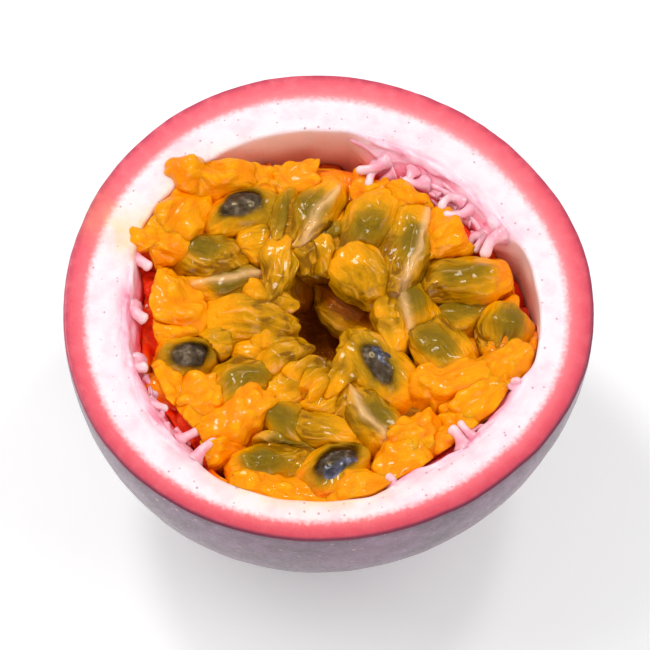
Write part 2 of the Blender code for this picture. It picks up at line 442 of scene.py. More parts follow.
def cut_colour(mat, fuzz):
    """The red band and the pith across the cut, stained with juice, with painted shade towards the lower
    right and a painted highlight on the rim.
    """
    depth, side_shade = mat.stored("depth"), mat.stored("side_shade")
    # The pale pink at the skin's very edge is a painted highlight on the cut's rounded rim.
    red = mat.ramp(mat.times(depth, 1 / 3.2),
        (0.0, 222, 168, 184), (0.04, 170, 60, 92), (0.1, 196, 56, 84), (0.3, 236, 86, 104),
        (0.7, 248, 110, 120), (1.0, 252, 148, 154),
    )
    red = mat.layers(
        red,
        (mat.patches(1.6 * MM, 3.0, 0.4, 0.7, 0.0, 0.4), (252, 124, 134)),
        # Painted shade: the red band darker towards the lower right, with a dark crimson line by the skin
        # there.
        (mat.times(side_shade, mat.remap(depth, 2.8, 0.5)), (196, 30, 62)),
        (mat.times(mat.remap(side_shade, 0.2, 0.6), mat.remap(depth, 0.55, 0.15)), (112, 22, 58)),
    )
    pith = mat.mix(mat.patches(2.4 * MM, 4.0, 0.4, 0.75), (247, 229, 233), (245, 210, 219))
    vessels = mat.dots(1.5 * MM, 0.1 * MM, 0.22 * MM, 0.5, upright=True)
    pith = mat.mix(mat.times(vessels, 0.75), pith, (186, 132, 148))
    ragged = mat.math("MULTIPLY_ADD", fuzz, 1.1, mat.stored("edge"))
    stain = mat.times(mat.stored("juice"), mat.patches(1.3 * MM, 3.0, 0.25, 0.7, 0.35, 1.0))
    return mat.layers(red, (mat.remap(ragged, -0.65, 0.5), pith), (stain, (255, 200, 100)))


def flesh_material():
    """The cut wall and the inside of the cavity, with painted shade further down the wall."""
    mat = Shader("flesh")
    inner, pink = mat.stored("inner"), mat.stored("placenta")
    fuzz = mat.math("SUBTRACT", mat.noise(0.55 * MM, 4.0), 0.5)
    down = mat.math("MULTIPLY_ADD", fuzz, 0.8, inner)
    # The membrane darkens to orange-brown further down the wall: partly juice, partly painted shade.
    membrane = mat.ramp(mat.times(down, 1 / 8),
        (0.0, 255, 240, 234), (0.1, 252, 220, 212), (0.35, 246, 200, 184),
        (0.7, 240, 166, 140), (1.0, 220, 90, 40),
    )
    fibres = mat.noise(0.8, 4.0, mat.stored("fibre", "Vector"), 0.6)
    tissue = mat.ramp(fibres,
        (0.3, 216, 80, 124), (0.4, 246, 150, 174), (0.55, 254, 190, 206),
        (0.7, 255, 226, 234),
    )
    tissue = mat.layers(
        tissue,
        # Further down, the tissue is painted pinker and then red: painted shade, tinted red as light glows
        # through the orange pulp.
        (mat.remap(down, 0.5, 2.2, 0.0, 0.8), (246, 120, 140)),
        (mat.remap(down, 1.7, 3.2), (236, 44, 20)),
    )
    colour = mat.layers(cut_colour(mat, fuzz), (mat.remap(inner, 0.1, 0.9), membrane), (pink, tissue))
    sponge = mat.noise(0.35 * MM, 4.0)
    mat.bump(mat.math("MULTIPLY_ADD", fibres, pink, sponge), 0.12 * MM, 0.5)
    mat.set(Base_Color=colour, Roughness=mat.remap(pink, 0.0, 1.0, 0.42, 0.3))
    mat.set(Subsurface_Weight=0.3, Subsurface_Radius=(1.0, 0.4, 0.35), Subsurface_Scale=1.2 * MM)
    mat.set(Coat_Weight=0.2, Coat_Roughness=0.15)
    return mat.material


def gel_colour(mat, local, streaks):
    """Orange by the wall, olive by the hollow and dull over a seed; painted shade in creases and deep down,
    painted reflection in the pale streaks and a painted red glow by the wall.
    """
    cloud = mat.math("SUBTRACT", mat.noise(2.2, 3.0, local), 0.5)
    ripe = mat.math("MULTIPLY_ADD", cloud, 0.6, mat.stored("ripe"))
    strands = mat.times(mat.math("SUBTRACT", streaks, 0.5), -1.5)
    ripe = mat.math("ADD", ripe, mat.times(strands, mat.stored("ripe")))
    colour = mat.ramp(ripe,
        (0.0, 255, 138, 0), (0.22, 255, 161, 0), (0.5, 234, 155, 0), (0.75, 203, 141, 0),
        (0.9, 174, 120, 0), (1.0, 136, 86, 0),
    )
    # Painted shade in the creases between sacs and in fold valleys, tinted like light glowing through the
    # jelly.
    crease_shade = mat.ramp(ripe,
        (0.0, 255, 128, 0), (0.5, 224, 136, 0), (1.0, 172, 112, 0),
    )
    # Painted shade: the jelly darker and browner the deeper it lies below the cut.
    depths = mat.ramp(ripe,
        (0.0, 214, 84, 0), (0.4, 176, 80, 0), (0.8, 136, 60, 0),
    )
    near = mat.math("MULTIPLY_ADD", cloud, 0.9, mat.stored("seed_near"))
    # Pale streaks: partly the pale folds of the sacs' skins, partly painted reflections of the lamps.
    faint = mat.times(mat.remap(streaks, 0.58, 0.72, 0.0, 0.6), mat.stored("pale"))
    broad = mat.times(mat.remap(streaks, 0.3, 0.5, 0.5, 1.0), mat.stored("streak"))
    return mat.layers(
        colour,
        (mat.stored("crease_shade"), crease_shade),
        (mat.remap(near, 0.02, 0.75), (170, 126, 6)),
        (mat.remap(near, 0.35, 1.25), (120, 98, 14)),
        (mat.math("MAXIMUM", faint, broad), (236, 188, 128)),
        (mat.stored("deep"), depths),
        # Painted red glow of light through the orange pulp, in crevices by the wall.
        (mat.stored("red"), (240, 44, 10)),
    )


def gel_material():
    """Wet jelly of the seed sacs, clear where a bare seed shows through it."""
    mat = Shader("gel")
    local = mat.stored("sac_place", "Vector")
    drawn_out = {0: local, 1: (0.2, 1.0, 1.0)}
    drawn_out = mat.add("ShaderNodeVectorMath", drawn_out, 0, operation="MULTIPLY")
    streaks = mat.noise(0.8, 5.0, drawn_out, 0.9)
    mat.bump(mat.math("MULTIPLY_ADD", streaks, 1.8, mat.noise(0.6, 4.0, local)), 0.22 * MM, 0.8)
    mat.set(Base_Color=gel_colour(mat, local, streaks), Roughness=0.22, Specular_IOR_Level=0.5)
    mat.set(Specular_Tint=srgb(255, 186, 70), Coat_Weight=0.4, Coat_Roughness=0.05)
    mat.set(Subsurface_Weight=0.3, Subsurface_Radius=(1.0, 0.6, 0.08), Subsurface_Scale=1.0 * MM)
    clear = mat.add("ShaderNodeBsdfTransparent", {"Color": srgb(250, 238, 205)}, 0)
    window = {0: mat.stored("clear"), 1: mat.principled.outputs[0], 2: clear}
    mat.put(mat.output.inputs["Surface"], mat.add("ShaderNodeMixShader", window, 0))
    return mat.material


def seed_material():
    mat = Shader("seed")
    # The pale lilac-grey in the mottle is partly the seed's own speckle, partly a painted sheen.
    colour = mat.ramp(mat.noise(1.1 * MM, 5.0),
        (0.35, 42, 36, 48), (0.55, 78, 74, 94), (0.75, 150, 144, 170),
    )
    # Painted shade: the pits darker.
    colour = mat.mix(mat.stored("pit"), colour, (16, 14, 16))
    mat.bump(mat.noise(0.3 * MM, 3.0), 0.05 * MM, 0.5)
    mat.set(Base_Color=colour, Roughness=0.4, Coat_Weight=0.5, Coat_Roughness=0.12)
    return mat.material


def stalk_material():
    mat = Shader("stalk")
    colour = mat.mix(mat.patches(1.0 * MM, 3.0, 0.35, 0.7), (248, 160, 178), (253, 192, 202))
    colour = mat.mix(mat.remap(mat.stored("tip"), 0.3, 1.0), colour, (255, 216, 218))
    mat.bump(mat.noise(0.35 * MM, 3.0), 0.05 * MM, 0.5)
    mat.set(Base_Color=colour, Roughness=0.3, Coat_Weight=0.3, Coat_Roughness=0.12)
    mat.set(Subsurface_Weight=0.4, Subsurface_Radius=(1.0, 0.45, 0.4), Subsurface_Scale=0.8 * MM)
    return mat.material


# ---------------------------------------------------------------- rind
RIND_SEGMENTS = 560
OUTER_EDGE = 0.2 * MM  # how round the skin's edge is at the cut
INNER_EDGE = 0.45 * MM
FOOT_PROFILE = (  # radius and height (mm) of the scar, the dimple round it and the flat spot
    (0.25, 0.10), (0.6, 0.07), (0.9, 0.12), (1.15, 0.34), (1.5, 0.36), (2.2, 0.16), (3.2, 0.03), (4.6, 0),
)
NEAR_WALL = 7.5 * MM  # the wall has closer rings down to here
SKIN_RINGS, CUT_RINGS, NEAR_RINGS, FAR_RINGS = 50, 26, 25, 14
JUICE_STAIN = (156, 6)  # direction and half width in degrees
CREAMS = ((0.5, 266, 34), (0.3, 138, 24))  # paler stains: strength, direction, half width


def skin_waves(points):
    """How far the leathery skin stands out or in."""
    return (0.1 * noise(points, 8 * MM, 3) + 0.05 * rough(points, 2.6 * MM, 3, 5)) * MM


def outer_ring(angle, polar):
    """A ring of the skin, at this angle up from the bottom of the ovoid."""
    flat = on_circle(angle, RADIUS * carpel_swell(angle) * sin(polar))
    height = CUT_HEIGHT - OVOID_DEPTH * cos(polar)
    ring = over(flat, height)
    outward = np.column_stack([flat / RADIUS**2, (ring[:, 2] - CUT_HEIGHT) / OVOID_DEPTH**2])
    outward /= lengths(outward)[:, None]
    settle = ease(0, 4 * MM, ring[:, 2])
    ring += outward * (skin_waves(ring) * settle)[:, None]
    return ring


def foot_rings(angle):
    """The small flat spot, with a scar in a dimple in its middle."""
    rings = []
    for radius, height in FOOT_PROFILE:
        flat = on_circle(angle, radius * MM * (1 + 0.08 * np.cos(2 * angle + 1)))
        rings.append(over(flat, height * MM))
    return rings


def skin_rings(angle):
    """Rings of the skin, from the scar up to the cut."""
    polars = np.linspace(asin(FOOT_RADIUS / RADIUS), acos(OUTER_EDGE / OVOID_DEPTH), SKIN_RINGS)
    return foot_rings(angle) + [outer_ring(angle, polar) for polar in polars]


def edge_rings(rim):
    """Rings that round the skin's edge into the cut, and how far in from the skin each lies."""
    out = rim[:, :2] / lengths(rim[:, :2])[:, None]
    rings, depths = [], []
    for turn in np.linspace(0, pi / 2, 5)[1:]:
        depth = OUTER_EDGE * (1 - cos(turn))
        height = CUT_HEIGHT - OUTER_EDGE * (1 - sin(turn))
        rings.append(over(rim[:, :2] - out * depth, height))
        depths.append(np.full(len(rim), depth))
    return rings, depths


def cut_rings(start, edge):
    """Rings across the cut, from the skin to the wall, and how far in from the skin each lies."""
    wall = lengths(edge[:, :2] - start[:, :2]) + OUTER_EDGE
    rings, depths = [], []
    for step in np.linspace(0, 1, CUT_RINGS)[1:]:
        ring = start * (1 - step) + edge * step
        dip = 0.09 * sin(pi * step) ** 2
        lumps = 0.05 * noise(ring, 3 * MM, 31) + 0.03 * noise(ring, 0.9 * MM, 33) - dip
        ring[:, 2] = CUT_HEIGHT + lumps * MM * min(1, 6 * step)
        rings.append(ring)
        depths.append(OUTER_EDGE + (wall - OUTER_EDGE) * step)
    return rings, depths


def wall_ring(angle, below, outset=0.0):
    """A ring on the cavity's wall, with the ragged tissue of the placentas."""
    share, _ = placental(angle)
    radius = wall_radius(angle, below) + outset
    ring = over(AXIS[:2] + on_circle(angle, radius), CUT_HEIGHT - below)
    along = over(on_circle(angle, 6 * MM), 1.6 * below + 0.7 * outset)
    lumps = 0.12 * noise(ring, 2.6 * MM, 21) + share * 0.3 * rough(along, 0.9 * MM, 2, 25)
    lumps = lumps + share * 0.3 * noise(ring, 1.8 * MM, 29)
    outward = over(on_circle(angle, 1.0), 0)
    return ring - outward * (lumps * MM)[:, None]


def wall_rings(angle):
    """Rings down the cavity's wall, and how far each lies below the cut."""
    turns = np.linspace(0, pi / 2, 6)[1:]
    belows = [INNER_EDGE * (1 - cos(turn)) for turn in turns]
    outsets = [INNER_EDGE * (1 - sin(turn)) for turn in turns]
    rings = [wall_ring(angle, *pair) for pair in zip(belows, outsets)]
    near = np.linspace(INNER_EDGE, NEAR_WALL, NEAR_RINGS)[1:]
    far = CAVITY_DEPTH * np.sin(np.linspace(asin(NEAR_WALL / CAVITY_DEPTH), 1.54, FAR_RINGS)[1:])
    deep = [*near.tolist(), *far.tolist()]
    return rings + [wall_ring(angle, below) for below in deep], belows + deep


def colour_rind(rind, angle, skin_count, depths, belows):
    """Stores what the flesh's material reads: depths from the skin and below the cut, and zones."""
    share, _ = placental(angle)
    wall = depths[-1]
    down = [np.full(len(angle), below) for below in belows]

    def spread(skin, cut, walls, ends=(0, 0)):
        """One number a vertex: for the skin's rings, the cut's, the wall's and both end points."""
        return np.concatenate([np.full(skin_count * len(angle), skin), *cut, *walls, ends])

    inside = [wall + below for below in down]
    boundary = RED_BAND + RED_VARIES * np.cos(angle - RED_WIDEST)
    edges = [[depth - boundary for depth in part] for part in (depths, inside)]
    store(rind, "depth", spread(0, depths, inside, (0, 1)) / MM)
    store(rind, "edge", spread(-3 * MM, *edges, (0, 1)) / MM)
    store(rind, "inner", spread(0, [0 * depth for depth in depths], down, (0, CAVITY_DEPTH)) / MM)
    near = [share * 0.9 * np.exp(-(wall - depth) / (0.8 * MM)) for depth in depths]
    lower = [np.maximum(share * ease(-0.4 * MM, 0.9 * MM, below), near[-1]) for below in down]
    store(rind, "placenta", spread(0, near, lower))
    facing = np.degrees(angle)
    stain = np.exp(-((facing - JUICE_STAIN[0]) / JUICE_STAIN[1]) ** 2)
    cream = sum(amount * np.exp(-((facing - middle) / half) ** 2) for amount, middle, half in CREAMS)
    away = [(wall - depth) / MM for depth in depths]
    on_cut = [stain * np.exp(-gap / 3.4) + cream * np.exp(-gap / 1.1) for gap in away]
    store(rind, "juice", spread(0, on_cut, [(stain + cream) * np.exp(-below / (3 * MM)) for below in down]))
    turns = np.concatenate([np.tile(angle, skin_count + len(depths) + len(belows)), (0, 0)])
    # Painted shade across the red band, strongest towards the lower right.
    store(rind, "side_shade", 0.36 + 0.3 * np.cos(turns - radians(290)))
    across = spread(0, depths, inside) / MM
    store(rind, "fibre", np.column_stack([np.cos(turns) * 6, np.sin(turns) * 6, across]))


def make_rind():
    angle = np.arange(RIND_SEGMENTS) / RIND_SEGMENTS * TURN
    skin = skin_rings(angle)
    rounded, edge_depths = edge_rings(skin[-1])
    across, cut_depths = cut_rings(rounded[-1], wall_ring(angle, 0.0, INNER_EDGE))
    inside, belows = wall_rings(angle)
    rings = skin + rounded + across + inside
    points, faces = loft(rings)
    rind = new_piece("rind", points, faces, skin_material())
    rind.data.materials.append(flesh_material())
    index = np.ones(len(faces), np.int32)
    index[:(len(skin) - 1) * RIND_SEGMENTS] = 0
    foot = (len(rings) - 1) * RIND_SEGMENTS
    index[foot:foot + RIND_SEGMENTS] = 0
    rind.data.polygons.foreach_set("material_index", index)
    colour_rind(rind, angle, len(skin), edge_depths + cut_depths, belows)
    radius = lengths(points[:, :2])
    store(rind, "scar", ease(1.35 * MM, 0.95 * MM, radius) * (points[:, 2] < 1 * MM))
    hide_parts("shell")


# ---------------------------------------------------------------- seed sacs
def unit_ball(levels):
    """Points and faces of a round ball made of small triangles."""
    bm = bmesh.new()
    bmesh.ops.create_icosphere(bm, subdivisions=levels, radius=1)
    points = np.array([v.co for v in bm.verts])
    faces = np.array([[v.index for v in f.verts] for f in bm.faces])
    bm.free()
    return points, faces


def turned(heading, pitch, roll):
    """Rotation of a sac's own axes: heading about Z, then pitch and roll, in degrees."""
    h, p, r = (radians(a) for a in (heading, pitch, roll))
    about_z = np.array(((cos(h), -sin(h), 0), (sin(h), cos(h), 0), (0, 0, 1)))
    about_y = np.array(((cos(p), 0, sin(p)), (0, 1, 0), (-sin(p), 0, cos(p))))
    about_x = np.array(((1, 0, 0), (0, cos(r), -sin(r)), (0, sin(r), cos(r))))
    return about_z @ about_y @ about_x


class Sac:
    """An ovoid sac: its centre, its own axes and its half sizes."""

    def __init__(self, row, order, rank, squash=0.86):
        x, y, sink, heading, length, width, self.kind = row
        grow = 1 if rank == 2 else SQUEEZE
        self.half = np.array((length / 2, width / 2, width / 2 * squash)) * MM * grow
        self.centre = AXIS + np.array((x, y, -sink)) * MM
        self.centre[2] -= self.half[2]
        self.order, self.rank = order, rank
        wobble = np.sin(np.array((2.4, 1.7)) * order)
        # The pointed end of a sac faces the hollow.
        inward = degrees(atan2(HOLLOW[1] - y, HOLLOW[0] - x))
        if cos(radians(heading - inward)) < 0:
            heading += 180
        self.axes = turned(heading, 7 * wobble[0], 10 * wobble[1])
        self.reach = max(self.half)
        self.streak_side = 0.9 * cos(3.7 * order)

    def to_unit(self, vectors):
        """Vectors in the world, seen from the sac, with the sac as a unit ball."""
        return (vectors @ self.axes) / self.half


CONTACT_SOFTNESS = 0.07
BOX_POWER = 2.7  # how square the orange lobes are: 2 is an ovoid
TAPER, TORN_TAPER = 0.16, 0.5  # how much slimmer a sac is at the end that faces the hollow
SQUEEZE = 1.14  # sacs would be this much larger if they weren't pressed together


def contact(sac, other, directions):
    """Share of each direction's length at which the sac meets another one."""
    p = other.to_unit((sac.centre - other.centre)[None])[0]
    q = other.to_unit(directions)
    # Sacs of one rank meet halfway; a lower one gives way to the whole of a higher one.
    halfway = sac.rank == other.rank
    a = (q**2).sum(1) - (1 if halfway else 0)
    b = 2 * (q @ p)
    c = p @ p - (0 if halfway else 1)
    if c <= 0:
        return np.full(len(directions), 0.2)
    under = b * b - 4 * a * c
    root = np.sqrt(np.maximum(under, 0))
    with np.errstate(divide="ignore", invalid="ignore"):
        roots = np.stack([(-b - root) / (2 * a), (-b + root) / (2 * a)])
    roots[~(roots > 0)] = 9
    return np.where(under > 0, np.minimum(roots.min(0), 9), 9)


def shaped(sac, sacs, ball):
    """The sac's points from its centre, pressed against its neighbours, and how pressed."""
    power = BOX_POWER if sac.kind == "orange" else 2.0
    ball = ball / (np.abs(ball) ** power).sum(1)[:, None] ** (1 / power)
    local = ball * sac.half
    taper = 1 - (TORN_TAPER if sac.kind == "torn" else TAPER) * ball[:, 0]
    local[:, 1] *= taper
    local[:, 2] *= taper
    directions = local @ sac.axes.T
    soft = np.exp(-np.ones(len(ball)) / CONTACT_SOFTNESS)
    for other in sacs:
        if other is sac or other.rank < sac.rank:
            continue
        if np.linalg.norm(sac.centre - other.centre) > sac.reach + other.reach:
            continue
        soft += np.exp(-contact(sac, other, directions) / CONTACT_SOFTNESS)
    reach = -CONTACT_SOFTNESS * np.log(soft)
    pressed = ease(0.97, 0.72, reach)
    return directions * (reach * 1.03)[:, None], local, pressed


WARPS = ((4.6, 0.7, 101), (1.9, 0.3, 111), (0.9, 0.1, 121))  # lump size and amount in mm, seed


def warp(points):
    """Moves the whole pulp a little this way and that, which makes its sacs uneven."""
    moves = np.zeros_like(points)
    for size, amount, seed in WARPS:
        for axis in range(3):
            moves[:, axis] += amount * MM * noise(points, size * MM, seed + axis)
    return moves


def ridged(points, size, seed):
    """Sharp-crested noise from -1 to 1."""
    return 1 - 2 * np.abs(noise(points, size, seed))


def jelly_folds(sac, own, ends, folds, streak):
    """How far the folds of a sac of clear jelly stand out (mm)."""
    outer_end, inner_end = ends
    wrinkles = ridged(own * np.array((0.3, 1, 1)), 0.8, 43)
    stands = (0.12 + 0.42 * inner_end) * folds + (0.07 + 0.15 * inner_end) * wrinkles
    stands += (0.14 + 0.22 * outer_end) * rough(own, 2.6, 3, 47) + 0.16 * streak
    stands += 0.2 * ridged(own, 1.3, 57)
    if sac.kind == "torn":
        stands = 1.3 * stands + 0.2 * folds + 0.3 * ridged(own * np.array((0.18, 1, 1)), 0.9, 63)
    if sac.kind == "amber":
        stands *= 0.6
    return stands


def orange_knobs(own, folds):
    """How far the knobs of an orange lobe stand out (mm), and where they are."""
    knobs = np.maximum(noise(own, 1.5, 53), 0) ** 1.5
    beads = pit_depth(own + 0.5 * noise(own, 2.0, 51)[:, None], 1.75)
    lobes = rough(own, 2.6, 3, 47)
    stands = 0.1 * folds + 0.3 * lobes + 0.4 * knobs + 0.5 * beads + 0.1 * noise(own, 0.9, 55)
    return stands, ease(0.3, 0.9, beads)


def sac_surface(sac, sacs, ball):
    """World points of a sac with its folds and lobes, and what its material needs."""
    offset, local, pressed = shaped(sac, sacs, ball)
    own = local / MM + sac.order * 17.3
    free = 1 - 0.7 * pressed
    outer_end, inner_end = ease(0.3, -0.9, ball[:, 0]), ease(0.1, 0.95, ball[:, 0])
    folds = ridged(own * np.array((0.26, 1, 1)), 1.7, 41)
    across = (local[:, 1] / MM - sac.streak_side + 0.35 * noise(own, 2.4, 59)) / 0.42
    streak = np.exp(-across**2) * ease(0.95, 0.6, np.abs(ball[:, 0])) * (ball[:, 2] > 0)
    streak *= sac.kind == "streaked"
    if sac.kind == "orange":
        stands, crest_highlight = orange_knobs(own, folds)
        crest_highlight *= 1 - pressed
    else:
        stands = jelly_folds(sac, own, (outer_end, inner_end), folds, streak)
        crest_highlight = ease(0.2, 0.8, folds)
        # Painted shade in the fold valleys near the inner end, laid on through the crease shade.
        valley_shade = ease(0.1, -0.7, folds) * ease(0.3, 1, inner_end)
        pressed = np.maximum(pressed, 0.75 * valley_shade)
    length = lengths(offset)
    offset *= (1 + stands * MM * free / np.maximum(length, 0.5 * MM))[:, None]
    points = sac.centre + offset
    return points + warp(points), local / MM, pressed, outer_end, streak, crest_highlight


def wall_gap(angle):
    """How far the pulp stands off the wall in each direction."""
    gap = np.full(len(angle), 0.1)
    for middle, half, amount in BARE_WALL:
        gap = np.maximum(gap, amount * in_zone(angle, middle, half, 1.1))
    return gap * MM


def keep_off_wall(points):
    """Pulls points in from the rind, which they lie against or stand off."""
    flat = points[:, :2] - AXIS[:2]
    radius = lengths(flat)
    angle = np.arctan2(flat[:, 1], flat[:, 0])
    below = np.clip(CUT_HEIGHT - points[:, 2], 0, CAVITY_DEPTH * 0.98)
    gap = wall_gap(angle)
    ragged = 0.45 * (1 + noise(points, 2.6 * MM, 91)) * np.clip(gap, 0.1 * MM, 1 * MM)
    most = wall_radius(angle, below) - gap - ragged
    scale = np.where(radius > most, most / np.maximum(radius, 1e-9), 1)
    points[:, :2] = AXIS[:2] + flat * scale[:, None]
    return points


class Seed:
    """A flat oval seed, inside a sac or beside it."""

    def __init__(self, sac, under):
        self.half = np.array(SEED_SIZE) / 2 * MM
        self.half *= 1 + 0.07 * np.sin(sac.order * 3.1)
        most = 0.74 if sac.kind == "bare" else 0.46 + 0.07 * sac.rank
        self.half = np.minimum(self.half, sac.half * most)
        tilt = np.sin(np.array((1.9, 2.9)) * sac.order)
        self.axes = sac.axes @ turned(0, 5 * tilt[0], 16 * tilt[1])
        self.centre = sac.centre.copy()
        self.centre[2] += sac.half[2] - under * MM - self.half[2]
        self.centre += warp(self.centre[None])[0]
        self.order = sac.order


SEED_SHADE = (2.8, 1.7)  # half length and half width of the dull patch over a seed (mm)


def seed_shade(sac, points, local):
    """How dull the jelly over a sac's seed is, and how clear the skin over it is."""
    shade = np.hypot(local[:, 0] / SEED_SHADE[0], local[:, 1] / SEED_SHADE[1])
    shade += 0.1 * noise(points / MM, 1.6, 61)
    top = ease(-0.2, 0.3, (points[:, 2] - sac.centre[2]) / sac.half[2])
    if sac.kind == "bare":
        return 0.55 * ease(1.8, 0.9, shade) * top, 0.97 * ease(1.08, 0.7, shade) * top
    return ease(1.6, 0.2, shade) * top, 0.1 * ease(1.1, 0.5, shade) * top


def sac_looks(sac, seeds, points, local, pressed, outer_end, streak, crest_highlight):
    """What the jelly's material reads, for each of a sac's points."""
    ripeness, _, pale = KINDS[sac.kind]
    flat = lengths(points[:, :2] - AXIS[:2]) / MM
    ripe = ripeness - 0.55 * outer_end - 0.3 * ease(17, 21.5, flat)
    if sac.kind == "orange":
        # Yellower on the crests of the knobs: a painted highlight.
        ripe = ripeness + 0.16 * crest_highlight
    near, clear = np.zeros(len(points)), np.zeros(len(points))
    if sac.order in seeds:
        near, clear = seed_shade(sac, points, local)
    # Painted shade: darker the deeper a point lies below the cut; the amber sac in the hollow is painted
    # darker over its middle instead.
    deep = 0.9 * ease(3.2, 6.6, (CUT_HEIGHT - points[:, 2]) / MM)
    if sac.kind == "amber":
        deep = 0.95 * ease(1.0, 0.7, lengths(local[:, :2] / sac.half[:2]) * MM)
    return {
        "ripe": ripe,
        "seed_near": near,
        "clear": clear,
        # How much painted crease shade a point takes.
        "crease_shade": 0.8 * pressed,
        "deep": deep,
        # Paler on the crests of the folds: a painted highlight.
        "pale": pale * (0.4 + 0.6 * crest_highlight),
        "streak": 0.85 * streak,
        "sac_place": local + sac.order * 9.7,
    }


def make_sac_piece(name, chosen, sacs, seeds, ball, material, lean_out=False):
    """One mesh of several sacs, each a closed skin of its own."""
    directions, ball_faces = ball
    points, faces, looks = [], [], []
    for count, sac in enumerate(chosen):
        surface, *shares = sac_surface(sac, sacs, directions)
        if not lean_out:
            surface = keep_off_wall(surface)
        points.append(surface)
        faces.append(ball_faces + count * len(directions))
        looks.append(sac_looks(sac, seeds, surface, *shares))
    piece = new_piece(name, np.concatenate(points), np.concatenate(faces).tolist(), material)
    for key in looks[0]:
        store(piece, key, np.concatenate([look[key] for look in looks]))
    return piece


LOWER_LAYERS = ((4.6, 5.4), (8.4, 6.0), (12.4, 6.4))  # mm below the cut, and spacing
LOWER_REACH = 20.5  # how far out the lower sacs go, and from where they are orange
ORANGE_FROM = 15.5


def lower_rows():
    """Sacs of the layers under the top one, on a loose grid round the hollow."""
    rows = []
    bare = [row[:2] for row in OVER_SACS if row[6] == "bare"]
    for layer, (sink, spacing) in enumerate(LOWER_LAYERS):
        count = int(22 / spacing)
        for i, j in itertools.product(range(-count, count + 1), repeat=2):
            x = (i + 0.5 * (j % 2)) * spacing + rng.uniform(-0.7, 0.7)
            y = j * spacing * 0.87 + rng.uniform(-0.7, 0.7)
            outer = hypot(x, y)
            from_hollow = dist((x, y), HOLLOW)
            turn = degrees(atan2(y, x)) + rng.uniform(-30, 30)
            if outer > LOWER_REACH - 1.2 * layer or from_hollow < HOLLOW_RADIUS + 3.4 - 0.6 * layer:
                continue
            if layer == 0 and any(dist((x, y), place) < 4 for place in bare):
                continue
            kind = "orange" if outer > ORANGE_FROM else "olive"
            rows.append((x, y, sink + rng.uniform(-0.5, 0.5), turn, spacing * 1.5, spacing * 1.15, kind))
    return rows


def make_seeds(seeds, material):
    """All the seeds as one mesh, each with small pits all over."""
    ball, faces = unit_ball(5)
    flat_end = 1 - 0.12 * ball[:, :1] ** 2
    shape = ball * np.hstack([np.ones((len(ball), 1)), flat_end, flat_end])
    points, pits = [], []
    for seed in seeds:
        local = shape * seed.half
        pit = pit_depth(local / MM + seed.order * 5.1, 0.62)
        local *= (1 - 0.045 * pit)[:, None]
        points.append(seed.centre + local @ seed.axes.T)
        pits.append(pit)
    all_faces = np.concatenate([faces + k * len(ball) for k in range(len(seeds))])
    piece = new_piece("seeds", np.concatenate(points), all_faces.tolist(), material)
    # How dark each pit is painted: painted shade in the pits.
    store(piece, "pit", 0.6 * np.concatenate(pits))


def pit_depth(points, spacing):
    """From 0 to 1 in round pits, one near each corner of a grid with this spacing."""
    places = points / spacing
    corner = np.floor(places).astype(np.int64)
    nearest = np.full(len(points), 9.0)
    for step in np.ndindex(3, 3, 3):
        cell = corner + np.array(step) - 1
        jitter = np.stack([lattice(cell, 60 + k) for k in range(3)], axis=1)
        nearest = np.minimum(nearest, lengths(cell + jitter - places))
    return ease(0.62, 0.15, nearest)


def top_rows():
    """All the rows of the top layer, each with its kind."""
    orange = [(*row, "orange") for row in ORANGE_LOBES]
    torn = [(*row, "torn") for row in TORN_SACS]
    return [*LEVEL_SACS, *orange, *torn, (*AMBER_SAC, "amber")]


def make_pulp():
    gel = gel_material()
    over = [Sac(row, k, 2) for k, row in enumerate(OVER_SACS)]
    level = [Sac(row, len(over) + k, 1) for k, row in enumerate(top_rows())]
    top = over + level
    lower = [Sac(row, len(top) + k, 0, 0.95) for k, row in enumerate(lower_rows())]
    sacs = top + lower
    seeds = {s.order: Seed(s, KINDS[s.kind][1]) for s in top if KINDS[s.kind][1] is not None}
    fine, coarse = unit_ball(5), unit_ball(4)
    clear = [s for s in top if s.kind not in ("orange", "torn")]
    orange = [s for s in top if s.kind == "orange"]
    torn = [s for s in top if s.kind == "torn"]
    make_sac_piece("seed_sacs", clear, sacs, seeds, fine, gel)
    make_sac_piece("torn_sacs", torn, sacs, seeds, fine, gel)
    lobes = make_sac_piece("orange_lobes", orange, sacs, seeds, fine, gel)
    make_sac_piece("lower_sacs", lower, sacs, seeds, coarse, gel)
    lean = [Sac((*row, "orange"), LEAN_ORDER + k, 2) for k, row in enumerate(RIM_LOBES)]
    make_sac_piece("rim_lobes", lean, lean, {}, coarse, gel, lean_out=True)
    make_core([s for s in sacs if s.kind != "amber"], gel)
    make_seeds(list(seeds.values()), seed_material())
    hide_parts("pulp")


CORE_SEGMENTS, CORE_RINGS = 420, 56
# In these crevices by the wall the core lies lower and is painted red: a painted glow of light through the
# orange pulp.
RED_GLOW_CREVICES = ((174, 22), (222, 16), (52, 34), (8, 12), (310, 12))  # direction, half width
MEMBRANES = ((100, 22), (14, 12))  # where the wall is bare
HOLLOW_PROFILE = (  # mm below the cut and radius (mm), from the floor of the hollow up
    (10.6, 0.6), (10.4, 1.8), (10.0, 2.9), (9.3, 3.9), (8.4, 4.7), (7.4, 5.3), (6.4, 5.7),
)
HOLLOW_RIM = 6.1
SIDE_LEVELS = (4.5, 6, 8, 10, 12, 14, 16, 18, 20, 22, 23.6, 24.8, 25.4)  # mm below the cut


def in_zones(angle, zones):
    """From 0 to 1 inside any of the zones, each a direction and a half width in degrees."""
    return np.max([in_zone(angle, *zone, 1.2) for zone in zones], axis=0)


